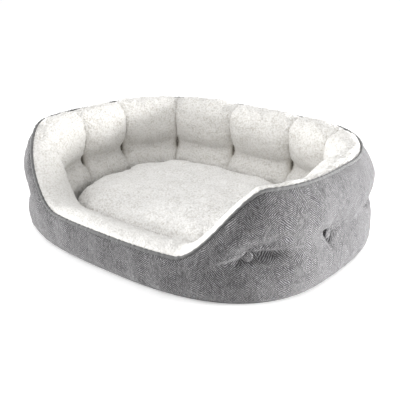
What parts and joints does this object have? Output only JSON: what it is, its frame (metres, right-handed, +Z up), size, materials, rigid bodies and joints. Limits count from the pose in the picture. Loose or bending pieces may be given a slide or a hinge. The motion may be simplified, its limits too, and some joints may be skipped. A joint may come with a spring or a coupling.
{
  "type": "pet cushion bed",
  "caption": "Tufted bolster bed for a cat or dog: fibre-filled oval wall with a low front, piped rim, plush lining and a lift-out crowned cushion.",
  "frame": {"origin": "middle of the bed's plan, on the plane it rests on", "axes": "+X along the bed's length to its right end, +Y to its high back, +Z up; the low front faces -Y"},
  "size_m": [0.8, 0.655, 0.233],
  "materials": {
    "grey_herringbone": "matte woven herringbone tweed in two greys",
    "white_plush": "matte curly plush pile, warm white",
    "dark_piping": "matte dark grey corded cloth",
    "base_cloth": "matte dark cloth with small non-slip dots",
    "plain_cloth": "matte plain light cloth",
    "polyester_fibre": "loose white fibre",
    "twine": "waxed twine, slight sheen"
  },
  "bodies": {
    "bed": {"base_panel": "base_cloth", "outer_cover": "grey_herringbone", "wall_lining": "white_plush", "rim_piping": "dark_piping", "wall_fill_01": "polyester_fibre", "wall_fill_02": "polyester_fibre", "wall_fill_03": "polyester_fibre", "wall_fill_04": "polyester_fibre", "wall_fill_05": "polyester_fibre", "wall_fill_06": "polyester_fibre", "wall_fill_07": "polyester_fibre", "wall_fill_08": "polyester_fibre", "wall_fill_09": "polyester_fibre", "front_roll_fill": "polyester_fibre", "outer_button_01": "grey_herringbone", "outer_button_02": "grey_herringbone", "outer_button_03": "grey_herringbone", "outer_button_04": "grey_herringbone", "outer_button_05": "grey_herringbone", "outer_button_06": "grey_herringbone", "outer_button_07": "grey_herringbone", "outer_button_08": "grey_herringbone", "outer_button_09": "grey_herringbone", "outer_button_10": "grey_herringbone", "inner_button_01": "white_plush", "inner_button_02": "white_plush", "inner_button_03": "white_plush", "inner_button_04": "white_plush", "inner_button_05": "white_plush", "inner_button_06": "white_plush", "inner_button_07": "white_plush", "inner_button_08": "white_plush", "inner_button_09": "white_plush", "inner_button_10": "white_plush", "tuft_twine_01": "twine", "tuft_twine_02": "twine", "tuft_twine_03": "twine", "tuft_twine_04": "twine", "tuft_twine_05": "twine", "tuft_twine_06": "twine", "tuft_twine_07": "twine", "tuft_twine_08": "twine", "tuft_twine_09": "twine", "tuft_twine_10": "twine"},
    "cushion": {"cushion_top_cover": "white_plush", "cushion_under_cover": "plain_cloth", "cushion_fill": "polyester_fibre"}
  },
  "joints": [
    {"name": "cushion_lift", "type": "slide", "parent": "bed", "child": "cushion", "axis": [0, 0, 1], "range_m": [0, 0.26]}
  ]
}
